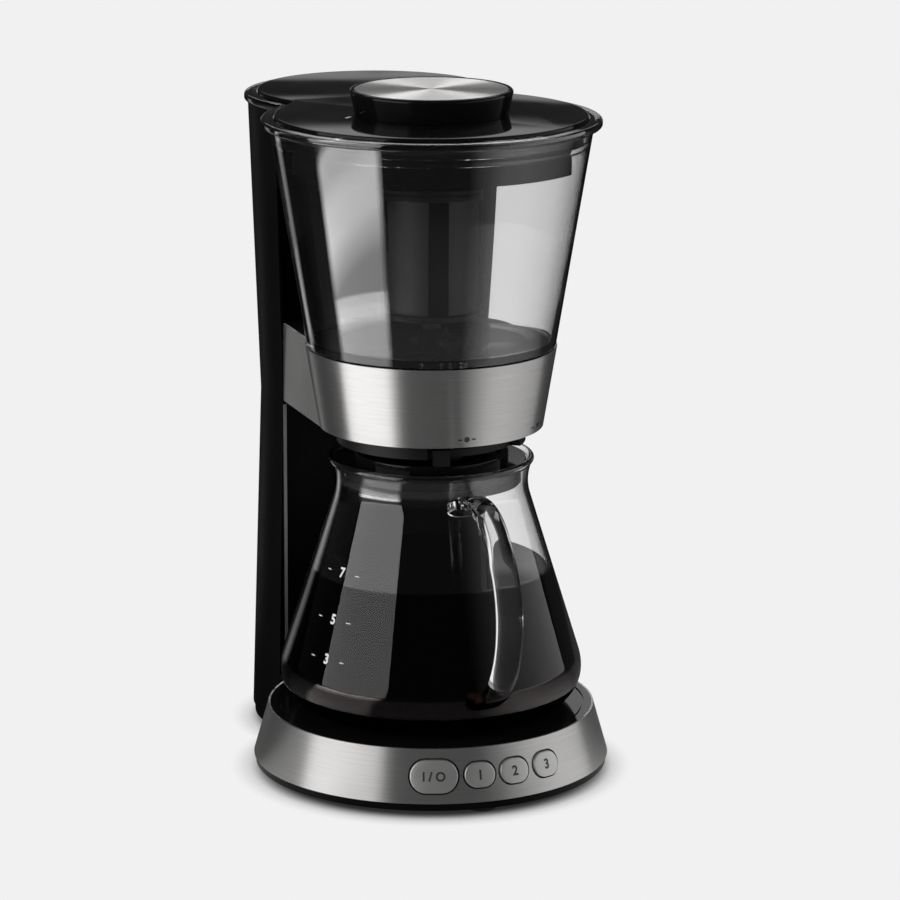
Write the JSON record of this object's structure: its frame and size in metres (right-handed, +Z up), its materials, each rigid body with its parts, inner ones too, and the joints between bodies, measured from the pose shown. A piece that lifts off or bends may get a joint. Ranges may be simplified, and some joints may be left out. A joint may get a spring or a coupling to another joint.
{
  "type": "cold brew coffee maker",
  "caption": "Countertop cold brew coffee maker with a motor-spun basket in a clear lift-off chamber, a drain lever, press buttons and a glass carafe.",
  "frame": {"origin": "middle of the object's footprint box, on the surface it stands on", "axes": "+Z up, front (carafe handle and buttons) towards -Y, column at +Y, +X to the right of a person facing the front"},
  "size_m": [0.19, 0.2898, 0.3664],
  "materials": {
    "brushed_steel": "brushed",
    "black_gloss": "gloss",
    "black_plastic": "satin",
    "clear_chamber": "clear, polished",
    "carafe_glass": "clear, polished",
    "button_silver": "silver paint, satin",
    "rubber": "matt",
    "steel": "plain machined",
    "zinc_steel": "zinc plated sheet",
    "circuit_board": "green solder mask",
    "bronze": "sintered bronze",
    "basket_mesh": "fine woven mesh"
  },
  "bodies": {
    "chamber": {"mixing_chamber": "clear_chamber", "chamber_seal": "rubber", "spindle_bush": "black_plastic", "valve_cage": "black_plastic"},
    "basket": {"basket_frame": "black_plastic", "basket_mesh": "basket_mesh", "basket_lid": "black_plastic", "driven_dog": "black_plastic", "spindle": "steel"},
    "drain_valve": {"drain_valve": "black_plastic", "valve_seal": "rubber"},
    "lid": {"chamber_lid": "black_gloss", "lid_gasket": "rubber", "lid_knob": "black_gloss", "knob_disc": "brushed_steel", "knob_screw": "steel", "lid_plug": "black_gloss"},
    "carafe": {"carafe_glass": "carafe_glass", "carafe_handle": "carafe_glass", "carafe_lid": "black_gloss", "carafe_lid_gasket": "rubber"},
    "drive_pulley": {"drive_pulley": "black_plastic", "drive_shaft": "steel", "drive_dog": "black_plastic"},
    "motor_pulley": {"motor_pulley": "black_plastic"},
    "drain_lever": {"drain_lever": "black_plastic"},
    "push_pin": {"drain_push_pin": "steel"},
    "brew_button": {"brew_button": "button_silver"},
    "mild_button": {"mild_button": "button_silver"},
    "medium_button": {"medium_button": "button_silver"},
    "bold_button": {"bold_button": "button_silver"},
    "housing": {"arm_frame": "black_plastic", "arm_trim_band": "brushed_steel", "arm_under_cover": "black_gloss", "base_feet": "rubber", "base_pan": "black_plastic", "base_screws": "steel", "base_tray": "black_gloss", "base_trim_band": "brushed_steel", "button_carrier": "black_plastic", "column_front_panel": "black_gloss", "column_lower_shell": "black_gloss", "column_top_plate": "black_plastic", "column_upper_shell": "black_gloss", "control_board": "circuit_board", "cord_gland": "rubber", "drain_spout": "black_plastic", "drive_belt": "rubber", "drive_motor": "zinc_steel", "lever_retainer": "black_gloss", "lower_bearing": "bronze", "motor_bracket": "zinc_steel", "motor_screws": "steel", "power_board": "circuit_board", "tact_switches": "black_plastic", "upper_bearing": "bronze", "base_skirt": "black_plastic"}
  },
  "joints": [
    {"name": "chamber_lift", "type": "slide", "parent": "housing", "child": "chamber", "axis": [0, 0, 1], "range_m": [0, 0.12]},
    {"name": "lid_lift", "type": "slide", "parent": "chamber", "child": "lid", "axis": [0, 0, 1], "range_m": [0, 0.06]},
    {"name": "basket_spin", "type": "hinge", "parent": "chamber", "child": "basket", "pos_m": [0, -0.02009, 0.25], "axis": [0, 0, 1], "continuous": true},
    {"name": "drive_spin", "type": "hinge", "parent": "housing", "child": "drive_pulley", "pos_m": [0, -0.02009, 0.2], "axis": [0, 0, 1], "continuous": true},
    {"name": "motor_spin", "type": "hinge", "parent": "housing", "child": "motor_pulley", "pos_m": [0, 0.10691, 0.2], "axis": [0, 0, 1], "continuous": true},
    {"name": "lever_swing", "type": "hinge", "parent": "housing", "child": "drain_lever", "pos_m": [0, -0.02009, 0.1836], "axis": [0, 0, 1], "range_deg": [0, 55]},
    {"name": "pin_lift", "type": "slide", "parent": "housing", "child": "push_pin", "axis": [0, 0, 1], "range_m": [0, 0.0027]},
    {"name": "valve_lift", "type": "slide", "parent": "chamber", "child": "drain_valve", "axis": [0, 0, 1], "range_m": [0, 0.0027]},
    {"name": "carafe_slide", "type": "slide", "parent": "housing", "child": "carafe", "axis": [0, -1, 0], "range_m": [0, 0.16]},
    {"name": "brew_press", "type": "slide", "parent": "housing", "child": "brew_button", "axis": [0.3123, 0.95, 0], "range_m": [0, 0.0012], "stiffness_N_per_m": 400},
    {"name": "mild_press", "type": "slide", "parent": "housing", "child": "mild_button", "axis": [0.0523, 0.9986, 0], "range_m": [0, 0.0012], "stiffness_N_per_m": 400},
    {"name": "medium_press", "type": "slide", "parent": "housing", "child": "medium_button", "axis": [-0.1599, 0.9871, 0], "range_m": [0, 0.0012], "stiffness_N_per_m": 400},
    {"name": "bold_press", "type": "slide", "parent": "housing", "child": "bold_button", "axis": [-0.3714, 0.9285, 0], "range_m": [0, 0.0012], "stiffness_N_per_m": 400}
  ],
  "couplings": [
    {"joint": "drive_spin", "follows": "basket_spin", "ratio": 1},
    {"joint": "motor_spin", "follows": "basket_spin", "ratio": 2.75},
    {"joint": "pin_lift", "follows": "lever_swing", "m_per_rad": 0.00281},
    {"joint": "valve_lift", "follows": "lever_swing", "m_per_rad": 0.00281}
  ]
}
